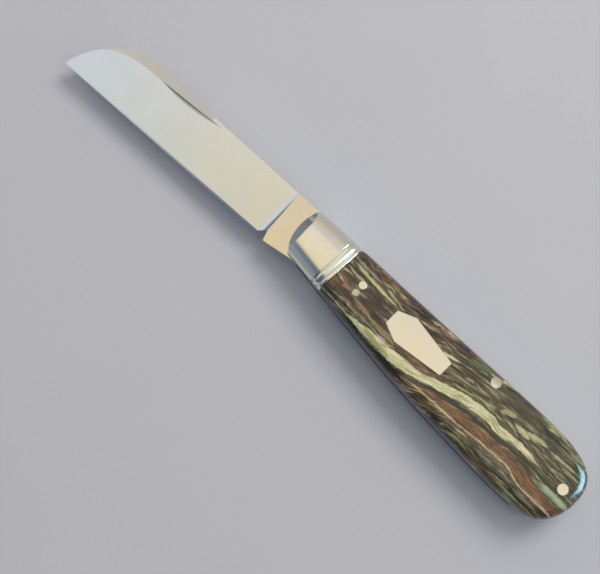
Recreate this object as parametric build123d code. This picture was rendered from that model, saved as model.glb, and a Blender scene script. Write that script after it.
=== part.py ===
from build123d import *
import math
import os

os.makedirs("parts", exist_ok=True)

# A one-bladed slip-joint whittling knife, modelled open, in millimetres.
# Frame: the origin is on the pivot axis, in the plane that the knife lies on.
# +X runs from the pivot to the butt, +Y to the back (spring side), +Z to the mark side.

# ---- Handle -----------------------------------------------------------------
handle_length = 95.7        # nose of the bolsters to the butt
nose_to_pivot = 5.6
flank_radius = 3.2          # roll from the flat land down to the sides
well_width = 2.9            # space between the liners, filled by the spring
liner_thickness = 1.0
cover_thickness = 3.75      # covers and bolsters alike
spring_depth = 3.35         # backspring over the tang, in plan
belly_depth = 15.05         # deepest point of the belly below the pivot axis
nose_corner_depth = 4.75    # belly side of the bolster at the nose, below the pivot axis
back_taper = 1.75           # how far the back falls from the nose to the butt shoulder

# ---- Bolsters ---------------------------------------------------------------
bolster_length = 15.65      # nose to the cover joint, on the axis
joint_tilt = 5.5            # cover joint leans this many degrees off square
nose_bulge = 2.4            # how far the round nose stands ahead of the bevel's top line
nose_bevel_angle = 50.0
front_bead_width = 1.75
rear_bead_width = 1.45
bead_height = 0.38
bead_sink = 0.03            # bead crests lie just below the polished surface
bead_lead_in = 0.3
bolster_pin_d = 1.6
bolster_pin_back = 5.4      # bolster pins behind the pivot
bolster_pin_spread = 3.6    # bolster pins either side of the axis

# ---- Tang, pivot and spring -------------------------------------------------
tang_half = 5.2             # pivot to each of the three faces the spring rests on
closing_angle = 172.0
tang_corner_radius = 1.2
shoulder_ahead = 4.4        # spring end and blade shoulder, ahead of the pivot
seat_gap = 0.02
shoulder_gap = 0.05
side_clearance = 0.05       # blade to each liner
pivot_pin_d = 3.2
bush_wall = 0.8
bush_clearance = 0.02
spring_pin_d = 2.75
spring_pin_clearance = 0.03
spring_boss_wall = 1.5      # spring metal under the centre pin
centre_pin_share = 0.63     # place along the way from the pivot to the butt
centre_pin_fall_share = 0.68  # share of the back's fall that is reached at the centre pin
centre_pin_below_back = 2.65
butt_pin_from_end = 5.0
butt_pin_depth = 4.2
spring_tail_wall = 1.5      # spring metal between the butt pin and the blade's tip

# ---- Blade ------------------------------------------------------------------
tip_room = 8.6              # shut blade's tip to the butt end
edge_depth = 6.15           # edge line below the pivot axis
kick_ahead = 10.3           # kick corner ahead of the pivot
kick_corner_radius = 0.35
choil_width = 3.3
choil_height = 2.25
plunge_ahead = 10.1         # end of the flat grind ahead of the pivot, at the spine
plunge_lean = 2.6           # degrees that the plunge leans ahead towards the edge
plunge_radius = 2.5
spine_hump = 1.5            # rise of the spine towards the point
hump_share = 0.715          # place of the hump along the way from the pivot to the tip
rise_share = 0.45           # place where the spine starts to rise
spine_half = 1.20           # half thickness of the ground blade at the spine
edge_half = 0.2             # half thickness behind the sharpened edge
edge_flat_half = 0.02
sharpening_angle = 19.0
distal_thinning = 0.12      # half thickness lost from plunge to tip
swedge_angle = 12.0
swedge_line_angle = 2.8     # swedge and nick lean this much off the handle's axis
swedge_drop = 3.05          # widest part of the swedge, below the spine
swedge_turn_share = 0.795   # place where the swedge turns down with the point
swedge_front_radius = 16.0
swedge_runout_radius = 5.0
swedge_end_share = 0.46     # place where the swedge runs out, along the way to the tip
swedge_turn = 70.0          # how far the swedge follows its front radius round
nick_share = 0.603          # place of the nail nick along the way to the tip
nick_length = 20.4
nick_depth = 0.55
nick_height = 1.25
nick_below_swedge = 0.05
nick_sweep = 24.0           # how far the nick's cutter turns

# ---- Covers, pins and shield ------------------------------------------------
cover_pin_d = 2.1
cover_pin_behind_joint = 6.6
cover_pin_rise = 0.9
shield_length = 18.4
shield_width = 8.2
shield_end_width = 4.25
shield_shoulder = 4.7       # head to the widest point
shield_thickness = 1.0
shield_gap = 0.04
shield_tilt = -3.1
shield_behind_joint = 17.05  # joint to the shield's head
shield_head_drop = 0.15
shield_pin_d = 1.2
shield_pin_inset = 5.0      # from each end of the shield

# ---- Worked out from the sizes above ----------------------------------------
reach = handle_length - nose_to_pivot
back_y = tang_half + spring_depth
thickness = well_width + 2 * (liner_thickness + cover_thickness)
mid_z = thickness / 2
well_half = well_width / 2
liner_top = mid_z + well_half + liner_thickness
well_top = mid_z + well_half
well_bottom = mid_z - well_half
bolster_pin_top = liner_top + cover_thickness / 2
liner_bottom = well_bottom - liner_thickness
blade_half = well_half - side_clearance
joint_x = bolster_length - nose_to_pivot
closed_lean = math.radians(180 - closing_angle)
mid_plane = Plane.XY.offset(mid_z)
overcut = 6.0               # how far cutters run past what they cut
bush_d = pivot_pin_d + 2 * bush_wall
tip_reach = reach - tip_room
edge_y = -edge_depth
centre_pin_at = (centre_pin_share * reach,
                 back_y - centre_pin_fall_share * back_taper - centre_pin_below_back)
butt_pin_at = (reach - butt_pin_from_end, -butt_pin_depth)


def slab(low, high):
    """A wide block between two heights, for slicing the handle."""
    size = 4 * handle_length
    return Pos(0, 0, (low + high) / 2) * Box(size, size, high - low)


def pin(at, diameter, low, high):
    return Pos(at[0], at[1], (low + high) / 2) * Cylinder(diameter / 2, high - low)


def handle_face():
    """Plan of the handle, run on straight past the nose for the nose cut."""
    start = -nose_to_pivot - overcut
    back = [(-nose_to_pivot, back_y), (0.28 * reach, back_y - 0.45 * back_taper),
            (0.55 * reach, back_y - 0.72 * back_taper), (0.8 * reach, back_y - back_taper)]
    butt = [(0.93 * reach, 0.6 * back_y), (0.984 * reach, 0.25 * back_y), (reach, -0.28 * belly_depth),
            (0.985 * reach, -0.64 * belly_depth), (0.944 * reach, -0.925 * belly_depth)]
    belly = [(0.87 * reach, -belly_depth), (0.67 * reach, -0.93 * belly_depth),
             (0.45 * reach, -0.8 * belly_depth), (0.2 * reach, -0.575 * belly_depth),
             (-nose_to_pivot, -nose_corner_depth)]
    belly_slope = Vector(-1, math.tan(closed_lean))
    belly_start = Vector(belly[-1]) + belly_slope * overcut
    curve = Spline(*back, *butt, *belly, tangents=[(1, -0.02), belly_slope])
    top = Line((start, back_y), back[0])
    bottom = Line(belly[-1], belly_start)
    front = Line(belly_start, (start, back_y))
    return make_face(Curve() + [top, curve, bottom, front])


def nose_cut():
    """Everything ahead of the rounded nose, in plan."""
    line_x = nose_bulge - nose_to_pivot
    mid_y = (back_y - nose_corner_depth) / 2
    high = (line_x, back_y)
    low = (line_x, -nose_corner_depth)
    arc = ThreePointArc(low, (-nose_to_pivot, mid_y), high)
    far = -nose_to_pivot - 2 * overcut
    rest = Polyline(high, (line_x, back_y + overcut), (far, back_y + overcut),
                    (far, -nose_corner_depth - overcut), (line_x, -nose_corner_depth - overcut), low)
    face = make_face(Curve() + [arc, rest])
    return extrude(face, thickness + 2 * overcut).moved(Pos(0, 0, -overcut))


def nose_bevel():
    """Wedge that bevels the mark bolster's nose down from a straight line."""
    line_x = nose_bulge - nose_to_pivot
    run = overcut
    drop = run * math.tan(math.radians(nose_bevel_angle))
    face = make_face(Polyline((line_x, thickness), (line_x - run, thickness - drop),
                              (line_x - run, thickness + overcut), (line_x, thickness + overcut), close=True))
    upright = Plane.XZ * face
    return extrude(upright, handle_length, both=True)


def handle_envelope():
    """The whole handle as one rounded block, from which each layer is sliced."""
    block = extrude(handle_face(), thickness)
    rim = [e for e in block.edges() if abs(e.center().Z - mid_z) > mid_z - 0.01
           and e.center().X > -nose_to_pivot - overcut + 0.01]
    return fillet(rim, flank_radius) - nose_cut()


envelope = handle_envelope()
joint_plane = Plane(origin=(joint_x, 0, 0),
                    z_dir=(math.cos(math.radians(joint_tilt)), -math.sin(math.radians(joint_tilt)), 0))
bolster_pins_at = [(bolster_pin_back, bolster_pin_spread), (bolster_pin_back, -bolster_pin_spread)]
cover_pin_at = (joint_x + cover_pin_behind_joint, cover_pin_rise)
shield_place = Pos(joint_x + shield_behind_joint, -shield_head_drop, 0) * Rot(0, 0, shield_tilt)
shield_pins_at = [(shield_place * Pos(shield_pin_inset, 0)).position,
                  (shield_place * Pos(shield_length - shield_pin_inset, 0)).position]


def bead_cut(block):
    """Sweeps the two-bead profile over the bolster, from side wall to side wall."""
    bead_plane = joint_plane.offset(-rear_bead_width)
    section = block & Face.make_rect(4 * thickness, 4 * handle_length, bead_plane)
    foot = sorted((v for v in section.vertices() if v.Z < liner_top + 0.01), key=lambda v: v.Y)
    low = Vector(foot[0].X, foot[0].Y, liner_top - 1)
    high = Vector(foot[-1].X, foot[-1].Y, liner_top - 1)
    rise = Vector(0, 0, cover_thickness + 1)
    path = FilletPolyline(low, low + rise, high + rise, high, radius=flank_radius)
    plane = Plane(origin=low, x_dir=joint_plane.z_dir, z_dir=(0, 0, 1))
    floor = bead_height
    lead = -front_bead_width - bead_lead_in
    arcs = [ThreePointArc((-front_bead_width, floor), (-front_bead_width / 2, bead_sink), (0, floor)),
            ThreePointArc((0, floor), (rear_bead_width / 2, bead_sink), (rear_bead_width, floor))]
    rest = Polyline((rear_bead_width, floor), (rear_bead_width, -1), (lead, -1), (lead, 0),
                    (-front_bead_width, floor))
    profile = plane * make_face(Curve() + arcs + [rest])
    return sweep(profile, path=path)


def bolster_mark():
    block = split(envelope & slab(liner_top, thickness), bisect_by=joint_plane, keep=Keep.BOTTOM)
    block = block - nose_bevel() - bead_cut(block)
    block -= pin((0, 0), pivot_pin_d, 0, thickness)
    for at in bolster_pins_at:
        block -= pin(at, bolster_pin_d, liner_bottom, bolster_pin_top)
    return block


def spring_pin_holes(block, diameter):
    for at in (centre_pin_at, butt_pin_at):
        block -= pin(at, diameter, -overcut, thickness + overcut)
    return block


def cover_blank():
    block = split(envelope & slab(liner_top, thickness), bisect_by=joint_plane, keep=Keep.TOP)
    block -= pin(cover_pin_at, cover_pin_d, 0, thickness)
    return spring_pin_holes(block, spring_pin_d)


def shield_face(grow):
    """Coffin outline, head towards the bolster, grown all round by a gap."""
    half_end = shield_end_width / 2
    half_wide = shield_width / 2
    upper = [(0, half_end), (shield_shoulder, half_wide), (shield_length, half_end)]
    lower = [(x, -y) for x, y in reversed(upper)]
    face = make_face(Polyline(*upper, *lower, close=True))
    return offset(face, grow, kind=Kind.INTERSECTION) if grow else face


def shield():
    return shield_place * Pos(0, 0, thickness - shield_thickness) * extrude(shield_face(0), shield_thickness)


def cover_mark():
    pocket = extrude(shield_face(shield_gap), shield_thickness + overcut)
    block = cover_blank() - shield_place * Pos(0, 0, thickness - shield_thickness) * pocket
    for at in shield_pins_at:
        block -= pin((at.X, at.Y), shield_pin_d, 0, thickness)
    return block


def liner_mark(with_shield_pins):
    block = envelope & slab(well_top, liner_top)
    block -= pin((0, 0), pivot_pin_d, 0, thickness)
    block -= pin(cover_pin_at, cover_pin_d, 0, thickness)
    for at in bolster_pins_at:
        block -= pin(at, bolster_pin_d, 0, thickness)
    if with_shield_pins:
        for at in shield_pins_at:
            block -= pin((at.X, at.Y), shield_pin_d, 0, thickness)
    return spring_pin_holes(block, spring_pin_d)


def pile(part):
    """The same piece on the other side of the knife."""
    return mirror(part, about=mid_plane)


def tang_low_y(x):
    """Height of the tang's lower face, which the spring rests on when the knife is shut."""
    return (math.sin(closed_lean) * x - tang_half) / math.cos(closed_lean)


def blade_face():
    tip = (-tip_reach, edge_y)
    heel = (-kick_ahead - choil_width, edge_y)
    choil_top = (-kick_ahead - 0.8, edge_y + choil_height)
    kick = (-kick_ahead, tang_low_y(-kick_ahead))
    low_corner = (tang_half, tang_low_y(tang_half))
    high_corner = (tang_half, tang_half)
    notch = (-shoulder_ahead, tang_half)
    shoulder = (-shoulder_ahead, back_y)
    spine_start = (-rise_share * tip_reach, back_y + 0.3 * spine_hump)
    hump = (-hump_share * tip_reach, back_y + spine_hump)
    spine_end = (-0.83 * tip_reach, back_y + 0.9 * spine_hump)
    spine = Spline(spine_start, hump, spine_end, tangents=[(-1, 0.03), (-1, -0.08)])
    drop = Spline(spine_end, (-0.868 * tip_reach, 0.945 * back_y), (-0.912 * tip_reach, 0.6 * back_y),
                  (-0.962 * tip_reach, 0.08 * back_y), tip, tangents=[(-1, -0.08), (-0.3, -1)])
    lines = [Line(shoulder, spine_start), spine, drop, Line(tip, heel),
             ThreePointArc(heel, (-kick_ahead - 0.62 * choil_width, edge_y + 0.62 * choil_height), choil_top),
             Polyline(choil_top, kick, low_corner, high_corner, notch, shoulder)]
    face = make_face(Curve() + lines)
    cams = [v for v in face.vertices() if abs(v.X - tang_half) < 0.01]
    face = fillet(cams, tang_corner_radius)
    kick_corner = [v for v in face.vertices() if abs(v.X - kick[0]) < 0.01 and abs(v.Y - kick[1]) < 0.01]
    return fillet(kick_corner, kick_corner_radius)


def grind_slope():
    return (spine_half - edge_half) / (back_y + edge_depth)


def grind_height(x, y):
    """Half thickness of the flat-ground blade at a point in plan."""
    along = (-plunge_ahead - x) / (tip_reach - plunge_ahead)
    return edge_half + (y - edge_y) * grind_slope() - distal_thinning * along


def flat_grind():
    """Cutter over the mark face: a gently tilted slab whose end is rounded for the plunge."""
    far = -tip_reach - overcut
    low = edge_y - overcut
    high = back_y + 2 * overcut
    lean = math.tan(math.radians(plunge_lean))
    near_low = -plunge_ahead - (back_y - low) * lean
    near_high = -plunge_ahead + (high - back_y) * lean
    corners = [(near_low, low), (near_high, high), (far, low)]
    points = [Vector(x, y, mid_z + grind_height(x, y)) for x, y in corners]
    normal = (points[1] - points[0]).cross(points[2] - points[0])
    plane = Plane(origin=points[0], x_dir=points[1] - points[0], z_dir=normal)
    length = (points[1] - points[0]).length
    run = (points[2] - points[0]).length
    face = plane * Pos(length / 2, run / 2) * Rectangle(length, run)
    cutter = extrude(face, overcut)
    bottom = cutter.edges().sort_by(Axis.Z)[0:4]
    plunge = bottom.sort_by(Axis.X)[-1]
    return fillet(plunge, plunge_radius)


def sharpening():
    """Cutter for the narrow bevel along the edge, mark side."""
    rise = overcut * math.tan(math.radians(sharpening_angle))
    base = mid_z + edge_flat_half
    far = edge_y + overcut
    near = edge_y - 1
    top = base + 2 * rise
    corners = [(edge_y, base), (far, base + rise), (far, top), (near, top), (near, base)]
    face = make_face(Polyline(*corners, close=True))
    upright = Plane(origin=(0, 0, 0), x_dir=(0, 1, 0), z_dir=(1, 0, 0)) * face
    heel_x = -kick_ahead - 0.5 * choil_width
    return extrude(upright.moved(Pos(heel_x, 0, 0)), -2 * tip_reach)


def swedge():
    """Bevel along the front of the spine: a straight run that turns down with the point."""
    turn_x = -swedge_turn_share * tip_reach
    turn_y = back_y + spine_hump - swedge_drop
    height = mid_z + grind_height(turn_x, turn_y)
    width = 2 * overcut
    fall = width * math.tan(math.radians(swedge_angle))
    face = make_face(Polyline((0, 0), (width, -fall), (width, width), (0, width), close=True))
    plane = Plane(origin=(turn_x, turn_y, height), x_dir=Vector(0, 1, 0).rotate(Axis.Z, swedge_line_angle),
                  z_dir=Vector(1, 0, 0).rotate(Axis.Z, swedge_line_angle))
    profile = plane * face
    run = -swedge_end_share * tip_reach - turn_x
    straight = extrude(profile, run)
    end_edges = [e for e in straight.edges() if e.center().X > turn_x + 0.9 * run and e.length > 0.5 * width]
    runout = min(end_edges, key=lambda e: e.center().Z)
    straight = fillet(runout, swedge_runout_radius)
    centre = Vector(turn_x, turn_y, 0) - plane.x_dir * swedge_front_radius
    curved = revolve(profile, Axis((centre.X, centre.Y, 0), (0, 0, 1)), swedge_turn)
    return straight + curved


def nail_nick():
    """Crescent left by a large disc cutter, with a steep wall towards the spine."""
    half = nick_length / 2
    radius = (half ** 2 + nick_depth ** 2) / (2 * nick_depth)
    centre_x = -nick_share * tip_reach
    climb = (swedge_turn_share - nick_share) * tip_reach * math.tan(math.radians(swedge_line_angle))
    wall_y = back_y + spine_hump - swedge_drop - nick_below_swedge + climb
    surface = mid_z + grind_height(centre_x, wall_y)
    tall = nick_depth + 1.5
    face = make_face(Polyline((0, 0), (0, tall), (-tall * nick_height / nick_depth, tall), close=True))
    plane = Plane(origin=(centre_x, wall_y, surface - nick_depth),
                  x_dir=Vector(0, 1, 0).rotate(Axis.Z, swedge_line_angle),
                  z_dir=Vector(1, 0, 0).rotate(Axis.Z, swedge_line_angle))
    axis = Axis(plane.origin + Vector(0, 0, radius), plane.x_dir)
    disc = revolve(plane * face, axis, nick_sweep)
    return disc.rotate(axis, -nick_sweep / 2)


def blade():
    body = extrude(blade_face(), 2 * blade_half).moved(Pos(0, 0, mid_z - blade_half))
    for cutter in (flat_grind(), sharpening(), swedge()):
        body = body - cutter - pile(cutter)
    body -= nail_nick()
    return body - pin((0, 0), bush_d + 2 * bush_clearance, 0, thickness)


def spring_face():
    """Plan of the backspring: thin arm, boss round the centre pin, tail round the butt pin."""
    seat = tang_half + seat_gap
    boss_low = centre_pin_at[1] - spring_pin_d / 2 - spring_boss_wall
    tip_wall_x = butt_pin_at[0] - spring_pin_d / 2 - spring_tail_wall
    inner = [(0.16 * reach, seat), (0.42 * reach, seat - 0.7), (centre_pin_at[0], boss_low),
             (0.78 * reach, boss_low - 0.6), (tip_wall_x - 4, boss_low - 2.6)]
    tail = [(tip_wall_x, -0.22 * belly_depth), (tip_wall_x - 1.2, -0.62 * belly_depth),
            (tip_wall_x - 3.6, -belly_depth - 1)]
    front_x = shoulder_gap - shoulder_ahead
    far = reach + overcut
    top = back_y + overcut
    curve = Spline(*inner, *tail, tangents=[(1, 0), (-0.45, -1)])
    lines = [Line((front_x, top), (front_x, seat)), Line((front_x, seat), inner[0]), curve,
             Polyline(tail[-1], (far, -belly_depth - 1), (far, top), (front_x, top))]
    return make_face(Curve() + lines)


def backspring():
    block = extrude(spring_face(), well_width).moved(Pos(0, 0, well_bottom)) & envelope
    return spring_pin_holes(block, spring_pin_d + 2 * spring_pin_clearance)


def through_pin(at, diameter):
    """A pin peened flush with both sides of the handle."""
    return pin(at, diameter, -overcut, thickness + overcut) & envelope


def group(places, diameter, low, high):
    return Compound([pin(at, diameter, low, high) for at in places])


bush = pin((0, 0), bush_d, well_bottom, well_top) - pin((0, 0), pivot_pin_d, 0, thickness)
bolster_pins = group(bolster_pins_at, bolster_pin_d, well_top, bolster_pin_top)
cover_pin = pin(cover_pin_at, cover_pin_d, well_top, thickness)
shield_spots = [(at.X, at.Y) for at in shield_pins_at]

nodes = {
    "blade": blade(),
    "pivot_bushing": bush,
    "pivot_pin": pin((0, 0), pivot_pin_d, 0, thickness),
    "backspring": backspring(),
    "liner_mark": liner_mark(True),
    "liner_pile": pile(liner_mark(False)),
    "bolster_mark": bolster_mark(),
    "bolster_pile": pile(bolster_mark()),
    "bolster_pins_mark": bolster_pins,
    "bolster_pins_pile": pile(bolster_pins),
    "cover_mark": cover_mark(),
    "cover_pile": pile(cover_blank()),
    "shield": shield(),
    "shield_pins": group(shield_spots, shield_pin_d, well_top, thickness - shield_thickness),
    "cover_pin_mark": cover_pin,
    "cover_pin_pile": pile(cover_pin),
    "centre_pin": through_pin(centre_pin_at, spring_pin_d),
    "butt_pin": through_pin(butt_pin_at, spring_pin_d),
}

for name, shape in nodes.items():
    export_step(shape, f"parts/{name}.step")
    print(name, round(shape.volume, 1), len(shape.solids()))
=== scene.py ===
import math
import random

import bmesh
import bpy
from mathutils import Matrix, Vector


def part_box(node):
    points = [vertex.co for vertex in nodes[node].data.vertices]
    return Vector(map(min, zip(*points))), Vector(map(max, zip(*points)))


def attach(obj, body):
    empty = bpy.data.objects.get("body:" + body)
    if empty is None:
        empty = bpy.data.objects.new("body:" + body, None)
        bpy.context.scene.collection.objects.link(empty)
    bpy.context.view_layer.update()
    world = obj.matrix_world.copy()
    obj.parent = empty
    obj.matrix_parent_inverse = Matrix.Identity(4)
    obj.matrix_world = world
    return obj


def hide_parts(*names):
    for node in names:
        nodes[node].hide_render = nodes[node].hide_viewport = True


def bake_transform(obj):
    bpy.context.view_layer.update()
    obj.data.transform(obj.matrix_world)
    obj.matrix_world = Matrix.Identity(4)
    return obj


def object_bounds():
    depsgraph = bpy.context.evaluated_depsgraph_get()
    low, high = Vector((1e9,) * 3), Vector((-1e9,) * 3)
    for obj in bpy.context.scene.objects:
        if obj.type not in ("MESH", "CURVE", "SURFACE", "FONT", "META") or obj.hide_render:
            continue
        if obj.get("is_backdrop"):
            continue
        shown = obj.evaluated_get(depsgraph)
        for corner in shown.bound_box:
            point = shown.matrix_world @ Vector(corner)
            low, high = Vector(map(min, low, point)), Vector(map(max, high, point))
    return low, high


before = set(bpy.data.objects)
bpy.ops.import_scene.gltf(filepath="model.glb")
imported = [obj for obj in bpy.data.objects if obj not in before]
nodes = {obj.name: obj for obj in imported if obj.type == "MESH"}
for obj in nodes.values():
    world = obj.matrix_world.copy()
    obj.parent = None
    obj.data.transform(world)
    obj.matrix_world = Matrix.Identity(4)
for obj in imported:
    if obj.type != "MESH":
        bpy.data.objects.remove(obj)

cad_low, cad_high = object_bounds()
scene = bpy.context.scene
scene.view_settings.view_transform = "Standard"
mm = 0.001

# The knife lies on its pile side: blade towards -X, butt towards +X, back towards +Y.
# Sizes below are in millimetres, except where the light and the camera stand, in metres.
handle_low, handle_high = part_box("liner_mark")
joint_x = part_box("cover_mark")[0].x / mm
butt_x = cad_high.x / mm
mid_z = (cad_low.z + cad_high.z) / 2 / mm
top_z = cad_high.z / mm


# ---- Camera and studio --------------------------------------------------------
view_lens = 57.0
view_distance = 0.2479
view_tilt = math.radians(8.802)
view_aim = Vector((0.00407, -0.00842, 0.0))
view_right = Vector((0.7433, 0.6690, 0))
view_ahead = Vector((-0.6690, 0.7433, 0))


def linear(red, green, blue):
    """A display colour, 0 to 255, as the linear colour that shaders take."""
    parts = []
    for part in (red / 255, green / 255, blue / 255):
        parts.append(part / 12.92 if part <= 0.04045 else ((part + 0.055) / 1.055) ** 2.4)
    return (*parts, 1.0)


def shaded(colour, share):
    """The same colour, darkened."""
    return tuple(part * share for part in colour[:3]) + (1,)


def link(data, name):
    """A new object in the scene."""
    made = bpy.data.objects.new(name, data)
    scene.collection.objects.link(made)
    return made


def camera():
    """Looks down on the mark side, leaning a little, with the point to the upper left."""
    data = bpy.data.cameras.new("view")
    data.lens = view_lens
    data.clip_start = mm
    look = view_ahead * math.sin(view_tilt) - Vector((0, 0, 1)) * math.cos(view_tilt)
    up = view_right.cross(look)
    turn = Matrix((view_right, up, -look)).transposed().to_4x4()
    made = link(data, "view")
    made.matrix_world = Matrix.Translation(view_aim - look * view_distance) @ turn
    scene.camera = made


class Socket:
    """A socket's output. Sums, products and the like on a number add Math nodes."""

    def __init__(self, finish, socket):
        self.finish = finish
        self.socket = socket

    def math(self, operation, *others, clamp=False):
        return self.finish.math(operation, self, *others, clamp=clamp)

    def __add__(self, other):
        return self.math("ADD", other)

    def __sub__(self, other):
        return self.math("SUBTRACT", other)

    def __rsub__(self, other):
        return self.finish.math("SUBTRACT", other, self)

    def __mul__(self, other):
        return self.math("MULTIPLY", other)

    def __truediv__(self, other):
        return self.math("DIVIDE", other)

    def __abs__(self):
        return self.math("ABSOLUTE")

    def held(self):
        """The same number held between 0 and 1."""
        return self.math("ADD", 0.0, clamp=True)

    def rise(self, start, end):
        """From 0 at the start to 1 at the end, held beyond both."""
        return ((self - start) / (end - start)).held()

    __radd__ = __add__
    __rmul__ = __mul__


class Finish:
    """A shader tree, built node by node."""

    def __init__(self, tree):
        self.tree = tree
        tree.nodes.clear()

    def add(self, kind, settings=None, inputs=None, output=0):
        """Any node: its type, its settings, then the values or links of its sockets."""
        node = self.tree.nodes.new("ShaderNode" + kind)
        for name, value in (settings or {}).items():
            if name == "stops":
                ramp = node.color_ramp.elements
                while len(ramp) < len(value):
                    ramp.new(0.5)
                for stop, (place, colour) in zip(ramp, value):
                    stop.position = place
                    stop.color = colour
            elif name == "points":
                curve = node.mapping.curves[0]
                while len(curve.points) < len(value):
                    curve.points.new(0.5, 0.5)
                for point, place in zip(curve.points, value):
                    point.location = place
                node.mapping.update()
            else:
                setattr(node, name, value)
        for key, value in (inputs or {}).items():
            if isinstance(value, Socket):
                self.tree.links.new(value.socket, node.inputs[key])
            else:
                node.inputs[key].default_value = value
        return Socket(self, node.outputs[output]) if node.outputs else node

    def math(self, operation, *values, clamp=False):
        """A Math node on sockets and numbers."""
        settings = {"operation": operation, "use_clamp": clamp}
        return self.add("Math", settings, dict(enumerate(values)))

    def mix(self, share, first, second):
        """From the first colour to the second by a share."""
        return self.add("Mix", {"data_type": "RGBA"}, {0: share, 6: first, 7: second}, output=2)

    def place(self, stretch=(1, 1, 1), shift=(0, 0, 0)):
        """The point on the knife in millimetres, stretched for a pattern."""
        point = self.add("TexCoord", output="Object")
        scale = tuple(part / mm for part in stretch)
        return self.add("Mapping", None, {"Vector": point, "Scale": scale, "Location": shift})

    def split(self, vector):
        """The three parts of a vector."""
        parts = self.add("SeparateXYZ", None, {0: vector}).socket.node
        return [Socket(self, output) for output in parts.outputs]

    def noise(self, vector, detail=3.0, roughness=0.55):
        """Cloudy noise, near 0.5 on average."""
        inputs = {"Vector": vector, "Scale": 1.0, "Detail": detail, "Roughness": roughness}
        return self.add("TexNoise", {"noise_dimensions": "3D"}, inputs)

    def ramp(self, share, stops):
        """A colour from a list of places and colours."""
        return self.add("ValToRGB", {"stops": stops}, {0: share})

    def surface(self, inputs):
        """Ends the tree in one Principled shader."""
        shader = self.add("BsdfPrincipled", None, inputs)
        self.add("OutputMaterial", None, {0: shader})


def material(name):
    """A new material, and its empty tree."""
    made = bpy.data.materials.new(name)
    made.use_nodes = True
    return made, Finish(made.node_tree)


def studio_world():
    """A soft surround: warm overhead, cooler past the blade and dim towards the belly side, with
    a bright patch low past the blade's back, which the nose mirrors."""
    world = bpy.data.worlds.new("studio")
    scene.world = world
    world.use_nodes = True
    finish = Finish(world.node_tree)
    x, y, z = finish.split(finish.add("TexCoord", output="Generated"))
    across = finish.ramp(y * 0.5 + 0.5, [
        (0.00, (0.10, 0.13, 0.18, 1)), (0.25, (0.10, 0.14, 0.20, 1)), (0.40, (0.20, 0.26, 0.32, 1)),
        (0.48, (0.80, 0.75, 0.54, 1)), (0.57, (0.94, 0.84, 0.64, 1)), (0.60, (0.86, 0.82, 0.70, 1)),
        (0.63, (0.62, 0.67, 0.72, 1)), (0.68, (0.72, 0.66, 0.56, 1)), (0.84, (0.56, 0.53, 0.47, 1)),
        (1.00, (0.50, 0.48, 0.44, 1))])
    coolness = x.rise(-0.20, -0.44) * y.rise(0.50, 0.28)
    colour = finish.mix(coolness, across, (0.72, 0.79, 0.88, 1))
    low_front = coolness * z.rise(0.72, 0.27)
    colour = finish.mix(low_front, colour, (0.17, 0.21, 0.22, 1))
    far_back = x.rise(-0.70, -0.82) * y.rise(0.20, 0.28) * z.rise(-0.30, -0.20)
    colour = finish.mix(far_back, colour, (1.25, 1.30, 1.28, 1))
    sky = finish.add("Background", None, {"Color": colour, "Strength": 1.0})
    finish.add("OutputWorld", None, {0: sky})


def softbox(name, place, size, energy, colour, mirrored_only):
    """A light panel turned to the origin: one that lights, or one that is only mirrored in polish."""
    data = bpy.data.lights.new(name, "AREA")
    data.energy = energy
    data.shape = "RECTANGLE"
    data.size, data.size_y = size
    data.color = colour
    made = link(data, name)
    made.visible_glossy = mirrored_only
    made.visible_diffuse = not mirrored_only
    turn = Vector(place).to_track_quat("Z", "Y").to_matrix().to_4x4()
    made.matrix_world = Matrix.Translation(place) @ turn


def floor():
    """A plain pale floor under the pile side."""
    far = 3
    mesh = bpy.data.meshes.new("floor")
    mesh.from_pydata([(-far, -far, 0), (far, -far, 0), (far, far, 0), (-far, far, 0)], [], [(0, 1, 2, 3)])
    made = link(mesh, "floor")
    painted, finish = material("pale_floor")
    tone = finish.noise(finish.place((0.02, 0.02, 0.02)), detail=2.0)
    colour = finish.mix(tone, linear(199, 199, 208), linear(206, 205, 213))
    finish.surface({"Base Color": colour, "Roughness": 0.9, "Specular IOR Level": 0.2})
    mesh.materials.append(painted)
    made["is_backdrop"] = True


# ---- Metal finishes ---------------------------------------------------------------
tang_face = 1.37            # the unground tang lies further than this from the mid plane
tang_reach = 14.0           # and less far than this ahead of the pivot
wear_shade = 0.8            # wear marks against the metal's own colour


def metal(name, colour, tint, roughness, grain, grain_depth, painted_tang_reflection=None):
    """Metal with fine lines along one direction, cloudy polish and a few wear marks.
    A painted warm reflection tints the unground flat behind the plunge line."""
    painted, finish = material(name)
    lines = finish.noise(finish.place(grain), detail=2.0, roughness=0.7)
    cloud = finish.noise(finish.place((0.12, 0.16, 0.2)), detail=3.0)
    marks = finish.noise(finish.place((2.6, 0.5, 1.2), (3, 5, 1)), detail=4.0, roughness=0.75)
    wear = ((marks - 0.66) * 6).held()
    base = finish.mix(cloud, colour, tint)
    base = finish.mix(wear * 0.3, base, shaded(colour, wear_shade))
    # Painted reflection: the unground flat behind the plunge takes a warm colour that stands in for
    # mirrored warm light.
    if painted_tang_reflection:
        x, y, z = finish.split(finish.place())
        flat = ((abs(z - mid_z) - tang_face) * 40).held() * ((x + tang_reach) * 2).held()
        base = finish.mix(flat, base, painted_tang_reflection)
    rough = roughness + (cloud - 0.5) * 0.10 + (lines - 0.5) * 0.08 + wear * 0.05
    bump = finish.add("Bump", None, {"Strength": 1.0, "Distance": grain_depth * mm, "Height": lines})
    finish.surface({"Base Color": base, "Metallic": 1.0, "Roughness": rough, "Normal": bump})
    return painted


# ---- Cover figure -------------------------------------------------------------------
band_low = -16.0            # reach of the figure's curves across the covers
band_high = 10.0
widest_band = 4.0


def share_along(x):
    """0 at the cover's joint and 1 at the butt, for a number or a socket."""
    return (x - joint_x) / (butt_x - joint_x)


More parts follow.
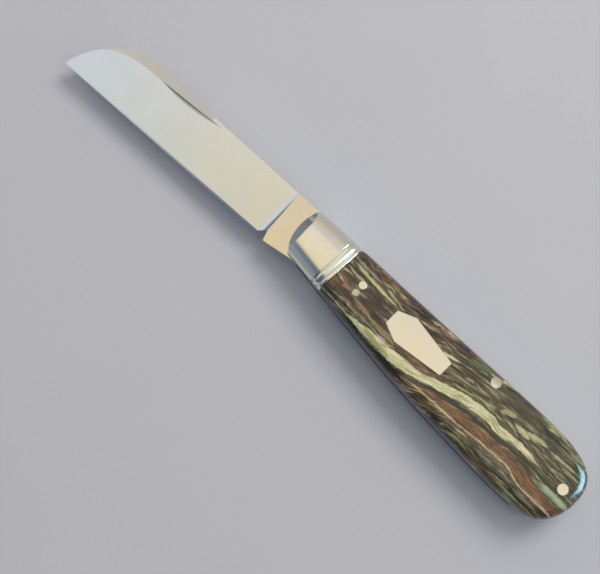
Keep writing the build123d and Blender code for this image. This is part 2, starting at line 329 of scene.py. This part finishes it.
def curve_over(finish, x, places, low=band_low, high=band_high):
    """A size in millimetres that follows the handle's length through a few points."""
    points = [(share_along(px), (value - low) / (high - low)) for px, value in places]
    inputs = {"Factor": 1.0, "Value": share_along(x).held()}
    return finish.add("FloatCurve", {"points": points}, inputs) * (high - low) + low


tone_stops = (0.39, 0.45, 0.50, 0.54, 0.58, 0.64)
umber_shades = (linear(18, 12, 9), linear(44, 32, 24), linear(76, 57, 43), linear(110, 88, 66),
                linear(164, 148, 114), linear(216, 208, 166))
olive_shades = (linear(20, 18, 12), linear(46, 43, 30), linear(76, 71, 51), linear(106, 103, 74),
                linear(158, 158, 118), linear(206, 210, 170))
rusty_shade = linear(118, 72, 42)
pore_shade = linear(30, 24, 18)
seam_shade = 0.55           # seams in a band against the band's dark colour


def cover_finish(name, bands, streaks, seed, warm_front):
    """Polished mineralised lamellae: dark umber and olive with cream, tan and rust bands.
    The lamellae are noise that is long along the handle, thin across it, and that bends with the
    first band. Bands and streaks lie over them at their own places. Past the warm front, the
    ground turns from umber to olive."""
    painted, finish = material(name)
    x, y, z = finish.split(finish.place())
    drift = finish.noise(finish.place((0.07, 0.2, 0.15), (seed, 0, 0)), detail=2.0)
    ripple = finish.noise(finish.place((0.30, 0.55, 0.4), (0, seed, 0)), detail=3.0, roughness=0.6)
    fray = finish.noise(finish.place((0.8, 3.0, 1.2), (seed, 2, 0)), detail=2.0)
    main = curve_over(finish, x, bands[0][0])
    nearness = ((9.0 - y) / 11.0).held()
    flow = y - (main + 5.0) * nearness + (drift - 0.5) * 3.0 + (ripple - 0.5) * 1.1 + (z - 12.0) * 0.25

    def lamellae(length, height, depth, detail, roughness, shift):
        vector = finish.add("CombineXYZ", None, {0: x / length, 1: flow / height + shift, 2: z / depth})
        return finish.noise(vector, detail, roughness)

    broad = lamellae(9.0, 1.25, 6.0, 3.0, 0.6, seed)
    middle = lamellae(6.0, 0.42, 4.0, 3.0, 0.65, seed + 7)
    fine = lamellae(3.2, 0.14, 3.0, 2.0, 0.6, seed + 13)
    tone = broad * 0.40 + middle * 0.36 + fine * 0.24
    umber = finish.ramp(tone, list(zip(tone_stops, umber_shades)))
    olive = finish.ramp(tone, list(zip(tone_stops, olive_shades)))
    regions = finish.noise(finish.place((0.05, 0.16, 0.1), (seed * 2, 1, 0)), detail=2.0)
    rearward = ((x - warm_front) / 22.0).held()
    colour = finish.mix(((regions - 0.5) * 2.2 + rearward * 0.9 + 0.05).held(), umber, olive)
    rusty = finish.noise(finish.place((0.10, 0.5, 0.2), (1, seed, 4)), detail=3.0)
    colour = finish.mix(((rusty - 0.58) * 5).held() * 0.45, colour, rusty_shade)

    edge_shake = (ripple - 0.5) * 1.0 + (fray - 0.5) * 0.8
    grain_tone = middle * 0.45 + fine * 0.55
    for places, widths, dark, light, softness in bands:
        level = main if places is bands[0][0] else curve_over(finish, x, places)
        off = abs(y - level + edge_shake * 0.8)
        half_width = curve_over(finish, x, widths, 0.0, widest_band)
        mask = ((half_width - off) / softness).held()
        body = finish.ramp(grain_tone, [(0.38, shaded(dark, seam_shade)), (0.45, dark), (0.56, light)])
        colour = finish.mix(mask, colour, body)
    for x0, y0, x1, y1, half, shade, strength in streaks:
        along = (x - x0) / (x1 - x0)
        taper = (along * (1 - along) * 5).math("MINIMUM", 1.0)
        off = abs(y - y0 - (y1 - y0) * along + edge_shake)
        thick = half * taper * (0.3 + 1.5 * broad)
        mask = ((thick - off) * 2.6).held() * (strength * (3.0 * grain_tone - 0.5))
        colour = finish.mix(mask.held(), colour, linear(*shade))

    pores = ((finish.noise(finish.place((1.6, 7.0, 3.0), (seed, 9, 2)), detail=2.0) - 0.66) * 9).held()
    colour = finish.mix(pores * 0.5, colour, pore_shade)
    polish = 0.20 + (middle - 0.5) * 0.16 + pores * 0.2
    height = tone + fine * 0.3 - pores
    relief = finish.add("Bump", None, {"Strength": 1.0, "Distance": 0.012 * mm, "Height": height})
    finish.surface({"Base Color": colour, "Roughness": polish, "Specular IOR Level": 0.5,
                    "Coat Weight": 0.55, "Coat Roughness": 0.05, "Normal": relief})
    return painted


cream = (linear(186, 181, 130), linear(237, 230, 188))
pale_green = (linear(150, 162, 128), linear(205, 214, 182))
rust = (linear(80, 50, 32), linear(152, 108, 72))
tan = (linear(176, 146, 108), linear(214, 190, 150))
dark_olive = (linear(34, 30, 20), linear(62, 56, 38))

# A band: its middle line along the handle, its half width, its two colours, and how soft its rim is.
mark_bands = [
    # The broad cream band that runs from the joint along the belly to near the butt pin.
    ([(10, -6.3), (17, -6.9), (22, -7.3), (28, -7.7), (35, -7.5), (42, -6.7), (45, -5.7), (49, -4.75),
      (56, -3.3), (61, -3.1), (65, -3.65), (70, -3.25), (75, -3.6), (79, -4.2), (90, -5.0)],
     [(10, 0.2), (17, 0.3), (22, 0.75), (27, 1.5), (35, 1.5), (42, 1.1), (49, 1.3), (61, 1.2), (70, 0.95),
      (75, 0.55), (79, 0.0), (90, 0.0)], *cream, 0.25),
    # Rust band under it, its thin tan line and the dark seam between.
    ([(10, -11), (40, -8.4), (49, -8.1), (60, -7.5), (68, -7.4), (74, -8.1), (80, -9.2), (88, -9.7)],
     [(10, 0.0), (36, 0.0), (46, 0.7), (55, 1.25), (68, 1.4), (76, 1.45), (84, 1.2), (90, 1.0)],
     *rust, 0.5),
    ([(10, -12), (38, -9.6), (42, -9.3), (56, -9.3), (65, -8.95), (71, -9.0), (76, -10.5), (80, -10.8),
      (88, -11.2)],
     [(10, 0.0), (36, 0.0), (42, 0.28), (60, 0.3), (88, 0.32), (90, 0.3)], *tan, 0.18),
    ([(10, -9), (38, -9.5), (46, -7.2), (56, -5.7), (65, -5.5), (75, -5.0), (80, -5.4), (90, -6)],
     [(10, 0.0), (36, 0.0), (44, 0.45), (56, 0.65), (70, 0.6), (78, 0.5), (90, 0.3)], *dark_olive, 0.3),
]
# A streak: from one point to another, its half width, its colour and its strength.
mark_streaks = [
    (9, -5.0, 22, -5.2, 0.28, (175, 178, 140), 0.9), (20, -5.1, 30, -6.2, 0.30, (170, 182, 150), 0.9),
    (27.2, -5.9, 30.6, -6.1, 0.45, (186, 200, 202), 0.8), (22, -6.4, 34, -8.6, 0.7, (160, 155, 92), 0.7),
    (12, -7.6, 40, -10.2, 0.8, (36, 38, 24), 0.9), (17, -3.2, 24, -3.9, 0.6, (158, 118, 78), 0.7),
    (21, -3.9, 33, -5.2, 0.7, (158, 136, 94), 0.75), (29.5, -4.6, 45, -4.3, 0.42, (128, 84, 56), 0.85),
    (28, -5.3, 43, -5.6, 0.26, (48, 30, 20), 0.95), (41, -5.3, 52, -1.9, 0.3, (52, 34, 22), 0.9),
    (12.2, -2.4, 15.8, -1.8, 0.5, (186, 142, 88), 0.8),
    (15.5, -1.6, 17.6, -1.6, 0.95, (205, 208, 170), 0.95),
    (16.5, -1.5, 19.8, -1.0, 0.3, (168, 170, 140), 0.7), (9.5, 5.3, 21.5, 4.2, 0.42, (150, 158, 134), 0.85),
    (10.0, 4.2, 28.5, 2.2, 0.45, (208, 206, 148), 1.0), (20.5, 4.4, 29.5, 2.7, 0.34, (188, 196, 152), 0.9),
    (9.5, 2.4, 18.5, 1.6, 0.5, (176, 184, 146), 0.8), (17.8, 7.1, 21.4, 6.9, 0.35, (186, 148, 80), 0.7),
    (29, 4.2, 35, 4.9, 0.25, (158, 148, 112), 0.8), (34, 4.9, 40, 4.5, 0.25, (158, 148, 112), 0.8),
    (47, 4.0, 55.5, 6.2, 0.9, (98, 114, 80), 0.65), (41, 1.3, 47.2, 2.4, 0.5, (222, 214, 172), 0.95),
    (45, 0.9, 48.5, 1.2, 0.3, (200, 190, 146), 0.85), (44, -3.3, 51, -1.0, 0.34, (166, 140, 98), 0.85),
    (57, 6.1, 63.5, 7.1, 0.5, (206, 198, 112), 0.9), (61.5, 0.2, 66, 1.7, 0.85, (186, 168, 126), 0.85),
    (66, 0.3, 72, -0.5, 0.75, (206, 200, 156), 0.9), (69.5, 0.5, 76.5, 1.2, 0.7, (192, 198, 152), 0.9),
    (64.5, -0.7, 68.5, -1.2, 0.5, (176, 178, 140), 0.8), (50, 0.5, 53, 0.9, 0.5, (168, 160, 118), 0.7),
    (52.5, 1.2, 56, 0.8, 0.4, (150, 148, 112), 0.7), (58, 0.2, 61.5, -0.2, 0.35, (158, 160, 124), 0.75),
    (48, -2.6, 57, -1.2, 0.3, (206, 190, 118), 0.85), (55, -1.1, 66, -1.5, 0.26, (198, 188, 116), 0.85),
    (79, -6.6, 90, -7.2, 0.75, (172, 190, 156), 0.9), (76.5, 0.8, 86, 0.7, 0.38, (196, 198, 150), 0.85),
    (81, -0.4, 88, -0.6, 0.3, (196, 200, 150), 0.8), (78, -2.6, 88, -2.8, 0.36, (172, 186, 158), 0.8),
    (73, 4.8, 77, 4.8, 0.5, (178, 180, 132), 0.8), (76, 4.3, 87, 3.6, 0.45, (158, 158, 98), 0.75),
    (77, 3.1, 87, 2.4, 0.32, (146, 148, 92), 0.7), (68, 6.2, 81, 5.7, 0.4, (160, 170, 120), 0.7),
    (56, -12.1, 63, -12.4, 0.26, (196, 180, 124), 0.9), (71, -13.3, 77, -13.5, 0.24, (206, 192, 130), 0.9),
    (76, -13.7, 85, -13.9, 0.24, (206, 192, 130), 0.9), (75, -12.4, 84, -12.6, 0.35, (128, 134, 86), 0.7),
    (62, -10.9, 70, -11.2, 0.5, (142, 132, 132), 0.6), (70, -10.9, 76, -11.6, 0.45, (140, 130, 126), 0.5),
    (43, -11.2, 52, -10.9, 0.4, (150, 108, 66), 0.7), (60, -12.9, 74, -13.3, 0.55, (136, 100, 50), 0.6),
    (58, 4.4, 74, 4.8, 1.5, (80, 72, 54), 0.65),
]
# The side that lies down has bands of the same kinds.
pile_bands = [
    ([(10, 2.4), (24, 3.2), (40, 1.6), (55, 0.4), (70, 1.4), (90, -1.0)],
     [(10, 0.5), (24, 0.9), (40, 1.3), (55, 0.7), (70, 1.1), (90, 0.5)], *pale_green, 0.25),
    ([(10, -3.6), (24, -5.2), (42, -6.4), (60, -8.0), (76, -9.6), (90, -10)],
     [(10, 0.8), (24, 1.2), (42, 1.0), (60, 1.5), (76, 0.9), (90, 0.5)], *rust, 0.5),
    ([(10, -1.6), (24, -2.6), (42, -4.6), (60, -5.6), (76, -7.6), (90, -8)],
     [(10, 0.3), (24, 0.45), (42, 0.35), (60, 0.6), (76, 0.3), (90, 0.2)], *tan, 0.18),
]


def scattered_streaks(count, seed):
    """Short lamellae in the covers' own colours, for the side that lies down."""
    draw = random.Random(seed)
    shades = [(206, 200, 152), (176, 184, 146), (166, 140, 98), (150, 158, 134), (60, 44, 30),
              (128, 84, 56)]
    made = []
    for number in range(count):
        x0 = draw.uniform(joint_x, butt_x - 12)
        y0 = draw.uniform(-11, 7)
        length = draw.uniform(5, 16)
        shade = shades[number % len(shades)]
        y1 = y0 + draw.uniform(-0.9, 0.5)
        half = draw.uniform(0.2, 0.6)
        made.append((x0, y0, x0 + length, y1, half, shade, 0.85))
    return made


# ---- Shapes --------------------------------------------------------------------------
liner_top = handle_high.z / mm
well_top = handle_low.z / mm
flank_roll = 3.2            # radius that rolls the covers and bolsters down to their walls
joint_lean = math.radians(5.5)  # the bolster's joint with the cover, off square
joint_normal = Vector((math.cos(joint_lean), -math.sin(joint_lean), 0))
joint_along = Vector((math.sin(joint_lean), math.cos(joint_lean), 0))
joint_middle = Vector((10.05, 0, 0))    # where the joint crosses the pivot's own height
nose_line_x = -3.2          # where the nose starts to slope down
nose_corner_y = -4.75       # belly side of the round nose
nose_x = handle_low.x / mm
weld = 0.0005 * mm          # points of a CAD mesh that are the same point
fine_round = 0.05           # break of the crisp edges of the main pieces
inlay_round = 0.06          # and of the shield and the pins
round_sides = 64
overrun = (-5.0, 20.0)      # cutters reach well below and above the knife
far_off = 60
crisp_angle = math.radians(38)
roll_steps = 12
rim_step = 0.6


def tube(name, rings):
    """A closed shape through equal rings of points in millimetres, capped at both ends."""
    made = bmesh.new()
    loops = [[made.verts.new(Vector(point) * mm) for point in ring] for ring in rings]
    count = len(rings[0])
    for first, second in zip(loops, loops[1:]):
        for here in range(count):
            after = (here + 1) % count
            made.faces.new((first[here], first[after], second[after], second[here]))
    made.faces.new(list(reversed(loops[0])))
    made.faces.new(loops[-1])
    bmesh.ops.recalc_face_normals(made, faces=made.faces)
    mesh = bpy.data.meshes.new(name)
    made.to_mesh(mesh)
    made.free()
    return link(mesh, name)


def baked(made):
    """Applies the modifiers, and leaves a plain mesh."""
    graph = bpy.context.evaluated_depsgraph_get()
    mesh = bpy.data.meshes.new_from_object(made.evaluated_get(graph))
    made.modifiers.clear()
    made.data = mesh
    return made


def cut(made, cutters):
    """Takes the cutters away from a piece, and the cutters out of the scene."""
    for cutter in cutters:
        step = made.modifiers.new("cut", "BOOLEAN")
        step.operation = "DIFFERENCE"
        step.solver = "EXACT"
        step.object = cutter
    baked(made)
    for cutter in cutters:
        bpy.data.objects.remove(cutter)
    return made


def soften(made, width, flush_pin=None):
    """Breaks the crisp edges with a small round, and shades the rest smoothly.
    Round a pin that is filed flush, the edges stay closed and crisp."""
    shape = bmesh.new()
    shape.from_mesh(made.data)
    rounded = shape.edges.layers.float.new("bevel_weight_edge")
    reach = across(flush_pin) / 2 + fine_round if flush_pin else 0
    centre = Vector(middle(flush_pin)) if flush_pin else Vector((0, 0))
    for edge in shape.edges:
        if edge.calc_face_angle(0) < crisp_angle:
            continue
        if all((vert.co.xy / mm - centre).length < reach for vert in edge.verts):
            edge.smooth = False
        else:
            edge[rounded] = 1.0
    shape.to_mesh(made.data)
    shape.free()
    for face in made.data.polygons:
        face.use_smooth = True
    edge = made.modifiers.new("edge", "BEVEL")
    edge.width = width * mm
    edge.segments = 2
    edge.limit_method = "WEIGHT"
    edge.harden_normals = True
    even = made.modifiers.new("even", "WEIGHTED_NORMAL")
    even.keep_sharp = True
    return baked(made)


def finished(made, body, node, painted):
    """A piece that stands for a CAD node, on its body and with its finish."""
    made.data.materials.clear()
    made.data.materials.append(painted)
    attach(made, body)
    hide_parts(node)
    return made


def copied(node, name):
    """The CAD node's own shape as one joined mesh with flat faces whole."""
    made = bmesh.new()
    made.from_mesh(nodes[node].data)
    bmesh.ops.remove_doubles(made, verts=made.verts, dist=weld)
    bmesh.ops.dissolve_limit(made, angle_limit=math.radians(0.5), verts=made.verts, edges=made.edges)
    mesh = bpy.data.meshes.new(name)
    made.to_mesh(mesh)
    made.free()
    return link(mesh, name)


def rim_points():
    """The handle's edge in plan from the back of the nose round the butt to the belly.
    It is the top edge of the liner's walls, walked vertex by vertex, without the nose itself."""
    made = bmesh.new()
    made.from_mesh(nodes["liner_mark"].data)
    bmesh.ops.remove_doubles(made, verts=made.verts, dist=weld)
    top = handle_high.z
    beside = {}
    for edge in made.edges:
        level = all(abs(vert.co.z - top) < 2 * weld for vert in edge.verts)
        if level and any(abs(face.normal.z) < 0.5 for face in edge.link_faces):
            first, second = edge.verts
            beside.setdefault(first, []).append(second)
            beside.setdefault(second, []).append(first)
    start = max(beside, key=lambda vert: vert.co.x)
    walk = [start, beside[start][0]]
    while walk[-1] != start:
        walk.append(next(vert for vert in beside[walk[-1]] if vert != walk[-2]))
    points = [Vector((vert.co.x / mm, vert.co.y / mm, 0)) for vert in walk[:-1]]
    made.free()
    if points[1].y > points[0].y:
        points.reverse()
    front = min(range(len(points)), key=lambda place: points[place].x)
    points = points[front:] + points[:front]
    points = [point for point in points if point.x > nose_line_x - 0.1]
    if points[0].y < points[-1].y:
        points.reverse()
    while abs(points[-1].x - points[-2].x) < 0.01:
        points.pop()
    return points


def faired(points, step):
    """A smooth line through points, divided evenly enough for a polished surface."""
    line = []
    for before, here, after, last in zip(points, points[1:], points[2:], points[3:]):
        length = (after - here).length
        lead = (after - before) * length / ((here - before).length + length)
        trail = (last - here) * length / ((last - after).length + length)
        count = max(1, round(length / step))
        for number in range(count):
            t = number / count
            a = (1 + 2 * t) * (1 - t) ** 2
            b = t * (1 - t) ** 2
            c = t * t * (3 - 2 * t)
            d = t * t * (t - 1)
            line.append(here * a + lead * b + after * c + trail * d)
    line.append(points[-2])
    return line


def handle_rim():
    """The faired edge, run on straight ahead of the nose at both sides."""
    run_on = 8
    points = rim_points()
    back = points[0] + (points[0] - points[1]).normalized() * run_on
    belly = points[-1] + (points[-1] - points[-2]).normalized() * run_on
    return faired([back + (back - points[0]), back, *points, belly, belly + (belly - points[-1])], rim_step)


rim = handle_rim()
rim_inward = []
for place, point in enumerate(rim):
    ahead = rim[min(place + 1, len(rim) - 1)] - rim[max(place - 1, 0)]
    rim_inward.append(Vector((ahead.y, -ahead.x, 0)).normalized())


def inset_rim(inset, z):
    """The handle's edge, moved inwards, at a height."""
    return [point + inward * inset + Vector((0, 0, z)) for point, inward in zip(rim, rim_inward)]


def mirrored(z, side):
    """A height on the mark side, or the same height on the pile side."""
    return z if side == "mark" else 2 * mid_z - z


def rounded_block(name, side):
    """A cover's blank: straight wall, then the rolled flank up to the flat."""
    rings = [inset_rim(0, mirrored(liner_top, side))]
    for step in range(roll_steps + 1):
        turn = math.radians(90) * step / roll_steps
        height = top_z - flank_roll + flank_roll * math.sin(turn)
        rings.append(inset_rim(flank_roll * (1 - math.cos(turn)), mirrored(height, side)))
    return tube(name, rings)


def flat_block(name, low, high):
    """A plate with the handle's whole outline."""
    return tube(name, [inset_rim(0, low), inset_rim(0, high)])


def prism(corners, low=overrun[0], high=overrun[1]):
    """An upright cutter over an outline in plan."""
    return tube("cutter", [[(x, y, z) for x, y in corners] for z in (low, high)])


def pin_tree():
    """Geometry Nodes: one round pin on every point of the carrier, as plain mesh."""
    tree = bpy.data.node_groups.new("round_pins", "GeometryNodeTree")
    face = tree.interface
    face.new_socket("Geometry", in_out="INPUT", socket_type="NodeSocketGeometry")
    for title in ("Diameter", "Length"):
        face.new_socket(title, in_out="INPUT", socket_type="NodeSocketFloat")
    face.new_socket("Finish", in_out="INPUT", socket_type="NodeSocketMaterial")
    face.new_socket("Geometry", in_out="OUTPUT", socket_type="NodeSocketGeometry")
    given = tree.nodes.new("NodeGroupInput")
    radius = tree.nodes.new("ShaderNodeMath")
    radius.operation = "MULTIPLY"
    radius.inputs[1].default_value = 0.5
    pin = tree.nodes.new("GeometryNodeMeshCylinder")
    pin.inputs["Vertices"].default_value = round_sides
    spread = tree.nodes.new("GeometryNodeInstanceOnPoints")
    real = tree.nodes.new("GeometryNodeRealizeInstances")
    paint_over = tree.nodes.new("GeometryNodeSetMaterial")
    result = tree.nodes.new("NodeGroupOutput")
    for start, end in (
            (given.outputs["Diameter"], radius.inputs[0]),
            (radius.outputs[0], pin.inputs["Radius"]),
            (given.outputs["Length"], pin.inputs["Depth"]),
            (given.outputs["Geometry"], spread.inputs["Points"]),
            (pin.outputs["Mesh"], spread.inputs["Instance"]),
            (spread.outputs[0], real.inputs[0]),
            (real.outputs[0], paint_over.inputs["Geometry"]),
            (given.outputs["Finish"], paint_over.inputs["Material"]),
            (paint_over.outputs[0], result.inputs[0])):
        tree.links.new(start, end)
    return tree


pin_apart = 3.4             # vertices further apart than this in plan are of different pins


def pin_places(node):
    """The middle of each pin in a CAD node, from its vertices sorted into clumps, and the size of one."""
    clumps = []
    for vert in nodes[node].data.vertices:
        for clump in clumps:
            if (clump[0].co.xy - vert.co.xy).length < pin_apart * mm:
                clump.append(vert)
                break
        else:
            clumps.append([vert])
    places = []
    for clump in clumps:
        spans = []
        for axis in range(3):
            reached = [vert.co[axis] for vert in clump]
            spans.append((min(reached), max(reached)))
        places.append([(low + high) / 2 for low, high in spans])
    return places, spans[0][1] - spans[0][0], spans[2][1] - spans[2][0]


def round_pins(name, node, tree, painted):
    """All the pins of a CAD node, by the tree, as one plain mesh."""
    places, diameter, length = pin_places(node)
    mesh = bpy.data.meshes.new(name)
    mesh.from_pydata(places, [], [])
    made = link(mesh, name)
    step = made.modifiers.new("pins", "NODES")
    step.node_group = tree
    sockets = [item for item in tree.interface.items_tree if item.in_out == "INPUT"]
    given = {item.name: item.identifier for item in sockets}
    step[given["Diameter"]] = diameter
    step[given["Length"]] = length
    step[given["Finish"]] = painted
    return soften(baked(made), inlay_round, "pivot_pin" if node == "pivot_pin" else None)


def drill(x, y, diameter):
    """A round cutter right through."""
    turns = [math.radians(360) * step / round_sides for step in range(round_sides)]
    return prism([(x + diameter / 2 * math.cos(turn), y + diameter / 2 * math.sin(turn)) for turn in turns])


def middle(node):
    """Centre of a CAD node in plan, in millimetres."""
    low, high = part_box(node)
    return (low.x + high.x) / 2 / mm, (low.y + high.y) / 2 / mm


def across(node):
    """Width of a CAD node in plan, which is a pin's diameter."""
    low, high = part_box(node)
    return (high.y - low.y) / mm


pocket_growth = (1.006, 1.01)   # along and across, a hair of room round the shield


def shield_pocket():
    """The shield's own outline, grown by a hair and cut down into the cover."""
    points = [(vert.co.x / mm, vert.co.y / mm) for vert in nodes["shield"].data.vertices]
    corners = sorted({(round(x, 3), round(y, 3)) for x, y in points})
    centre = middle("shield")
    corners.sort(key=lambda corner: math.atan2(corner[1] - centre[1], corner[0] - centre[0]))
    grown = []
    for corner in corners:
        grown.append([mid + (at - mid) * growth for at, mid, growth in zip(corner, centre, pocket_growth)])
    return prism(grown, low=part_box("shield")[0].z / mm)


def ahead_of_joint():
    """All that lies ahead of the leaning joint between bolster and cover."""
    back = joint_middle + joint_along * far_off
    belly = joint_middle - joint_along * far_off
    corners = [back, belly, belly - joint_normal * far_off, back - joint_normal * far_off]
    return prism([(corner.x, corner.y) for corner in corners])


def nose_cutter():
    """All that lies ahead of the round nose in plan."""
    half = (nose_back_y - nose_corner_y) / 2
    bulge = nose_line_x - nose_x
    radius = (half ** 2 + bulge ** 2) / (2 * bulge)
    sweep = math.asin(half / radius)
    centre_y = nose_corner_y + half
    steps = 40
    arc = []
    for step in range(steps + 1):
        turn = -sweep + 2 * sweep * step / steps
        arc.append((nose_x + radius - radius * math.cos(turn), centre_y + radius * math.sin(turn)))
    margin = 9
    front = -30
    back = nose_back_y + margin
    belly = nose_corner_y - margin
    return prism(arc + [(nose_line_x, back), (front, back), (front, belly), (nose_line_x, belly)])


nose_back_y = max(point.y for point in rim)
nose_slope = 50             # degrees
nose_easing = 14            # degrees less at the back
easing_from = 2.5           # height in plan where the slope starts to ease, and over what length
easing_over = 5.0
easing_shift = 0.25


def nose_bevel(side):
    """Hand-filed wedge that slopes the nose down, less steeply towards the back."""
    run = 8
    above = top_z + 3
    low_y = -10
    length = 22
    steps = 30
    rings = []
    for step in range(steps + 1):
        y = low_y + length * step / steps
        eased = max(0.0, min(1.0, (y - easing_from) / easing_over))
        drop = run * math.tan(math.radians(nose_slope - nose_easing * eased ** 1.5))
        start = nose_line_x + easing_shift * eased
        section = [(start, top_z), (start - run, top_z - drop), (start - run, above), (start, above)]
        rings.append([(x, y, mirrored(z, side)) for x, z in section])
    return tube("cutter", rings)


bead_floor = 0.38           # the grooves beside the beads, below the bolster's skin
bead_crest = 0.03
rear_bead = 1.45            # widths of the two beads, from the joint forward
front_bead = 1.75
bead_lead = 0.3             # slope from the front groove up to the skin
crown = 0.12                # how far the bolster's flat falls towards its rolled flanks


def bead_depth(ahead):
    """How far the bolster's skin is sunk at a distance ahead of the cover joint."""
    for start, width in ((0, rear_bead), (rear_bead, front_bead)):
        if start <= ahead <= start + width:
            rise = bead_floor - bead_crest
            radius = (width ** 2 / 4 + rise ** 2) / (2 * rise)
            off = ahead - start - width / 2
            return bead_crest + radius - math.sqrt(radius ** 2 - off ** 2)
    past = ahead - rear_bead - front_bead
    return bead_floor * max(0.0, 1 - past / bead_lead)


def rim_crossing(ahead, towards_back):
    """Where a section ahead of the joint meets the handle's edge: its base, and the reach from it."""
    base = joint_middle - joint_normal * ahead
    crossing = None
    for first, second in zip(rim, rim[1:]):
        before = (first - base).dot(joint_normal)
        after = (second - base).dot(joint_normal)
        if before * after <= 0 and before != after:
            hit = first.lerp(second, before / (before - after))
            reach = (hit - base).dot(joint_along)
            if (reach > 0) == towards_back:
                crossing = reach
    return base, crossing


def bolster_blank(name, side):
    """Sections from the joint to past the nose: walls, rolled flanks and a slightly crowned face."""
    beads = rear_bead + front_bead
    rear_steps, front_steps, face_steps, flank_steps, plain_steps = 14, 16, 20, 14, 14
    stations = [rear_bead * step / rear_steps for step in range(rear_steps)]
    stations += [rear_bead + front_bead * step / front_steps for step in range(front_steps + 1)]
    stations += [beads + past for past in (0.1, 0.2, bead_lead, 0.5)]
    stations += [beads + 1.3 + step for step in range(plain_steps)]
    rings = []
    for ahead in stations:
        base, high = rim_crossing(ahead, True)
        low = rim_crossing(ahead, False)[1]
        depth = bead_depth(ahead)
        low, high = low + depth, high - depth
        roll = flank_roll - depth
        top = top_z - depth
        half = (high - low) / 2 - roll
        centre = (high + low) / 2
        across_face = []
        for step in range(face_steps + 1):
            share = -1 + 2 * step / face_steps
            across_face.append((centre + half * share, top - crown * abs(share) ** 4))
        rolls = []
        for step in range(1, flank_steps + 1):
            turn = math.radians(90) * step / flank_steps
            out = roll * math.sin(turn)
            lead = 4 * crown / half * out * (1 - out / roll)
            rolls.append((out, crown + (roll - crown) * (1 - math.cos(turn)) + lead))
        section = [(low, liner_top)]
        section += [(low + roll - out, top - down) for out, down in reversed(rolls)]
        section += across_face
        section += [(high - roll + out, top - down) for out, down in rolls]
        section += [(high, liner_top)]
        ring = []
        for reach, z in section:
            place = base + joint_along * reach
            ring.append((place.x, place.y, mirrored(z, side)))
        rings.append(ring)
    return tube(name, rings)


def paint(node, painted):
    """Gives a CAD node its finish."""
    for slot in nodes[node].material_slots:
        slot.material = painted


camera()
studio_world()
floor()
softbox("key", (0.05, 0.42, 0.55), (0.30, 0.30), 1.9, (1.0, 0.97, 0.92), mirrored_only=False)
softbox("butt_window", (0.537, 0.29, 0.262), (0.42, 0.50), 7.2, (0.35, 0.80, 1.0), mirrored_only=True)

nickel = metal("mirror_nickel_silver", (0.86, 0.83, 0.76, 1), (0.83, 0.79, 0.71, 1),
               roughness=0.11, grain=(1.2, 40.0, 8.0), grain_depth=0.0006)
# The blade's warm colour for its unground flat is a painted reflection, not a colour of the steel.
steel = metal("satin_blade_steel", (0.80, 0.80, 0.80, 1), (0.77, 0.77, 0.765, 1),
              roughness=0.17, grain=(45.0, 1.0, 6.0), grain_depth=0.0008, painted_tang_reflection=(0.80, 0.71, 0.575, 1))
spring_steel = metal("spring_steel", (0.62, 0.62, 0.62, 1), (0.57, 0.57, 0.58, 1),
                     roughness=0.24, grain=(1.0, 8.0, 45.0), grain_depth=0.0012)
# Painted shade: the liners' base colour is darker and bluer than their steel and stands in for the shade
# and dark reflections on their walls.
liner_steel = metal("liner_steel", (0.42, 0.44, 0.48, 1), (0.36, 0.38, 0.42, 1),
                    roughness=0.26, grain=(0.8, 8.0, 50.0), grain_depth=0.0012)
bronze = metal("bush_bronze", (0.62, 0.44, 0.24, 1), (0.56, 0.40, 0.22, 1),
               roughness=0.28, grain=(20.0, 20.0, 1.0), grain_depth=0.001)
mark_cover = cover_finish("fossil_cover_mark", mark_bands, mark_streaks, seed=3.0, warm_front=38.0)
pile_streaks = scattered_streaks(26, 11)
pile_cover = cover_finish("fossil_cover_pile", pile_bands, pile_streaks, seed=17.0, warm_front=55.0)

node_finishes = {"blade": steel, "backspring": spring_steel, "liner_mark": liner_steel,
                 "liner_pile": liner_steel, "pivot_bushing": bronze, "cover_mark": mark_cover,
                 "cover_pile": pile_cover}
for name in nodes:
    paint(name, node_finishes.get(name, nickel))

for side, painted in (("mark", mark_cover), ("pile", pile_cover)):
    low, high = sorted((mirrored(liner_top, side), mirrored(well_top, side)))
    liner = cut(flat_block(f"{side}_liner", low, high), [nose_cutter()])
    finished(soften(liner, fine_round), "handle", f"liner_{side}", liner_steel)

    bolster = bolster_blank(f"{side}_bolster", side)
    cut(bolster, [nose_cutter(), nose_bevel(side), drill(*middle("pivot_pin"), across("pivot_pin"))])
    finished(soften(bolster, fine_round, "pivot_pin"), "handle", f"bolster_{side}", nickel)

    cover = rounded_block(f"{side}_cover", side)
    holes = [ahead_of_joint()]
    for pin in (f"cover_pin_{side}", "centre_pin", "butt_pin"):
        holes.append(drill(*middle(pin), across(pin)))
    if side == "mark":
        holes.append(shield_pocket())
    cut(cover, holes)
    finished(soften(cover, fine_round), "handle", f"cover_{side}", painted)

# The spring is held by its middle pin; here it keeps its CAD shape, and bend_start, at that pin, is worked
# out but not used.
spring = soften(copied("backspring", "spring_leaf"), fine_round)
spring.data.materials.clear()
spring.data.materials.append(spring_steel)
spring_low, spring_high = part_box("backspring")
bend_start = (middle("centre_pin")[0] * mm, spring_high.y, mid_z * mm)
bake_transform(spring)
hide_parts("backspring")

pins = pin_tree()
for node in ("pivot_pin", "bolster_pins_mark", "bolster_pins_pile", "cover_pin_mark", "cover_pin_pile",
             "shield_pins"):
    finished(round_pins(f"{node}_turned", node, pins, nickel), "handle", node, nickel)
shield = soften(copied("shield", "coffin_shield"), inlay_round)
finished(shield, "handle", "shield", nickel)

low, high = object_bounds()
list(low)
list(high)
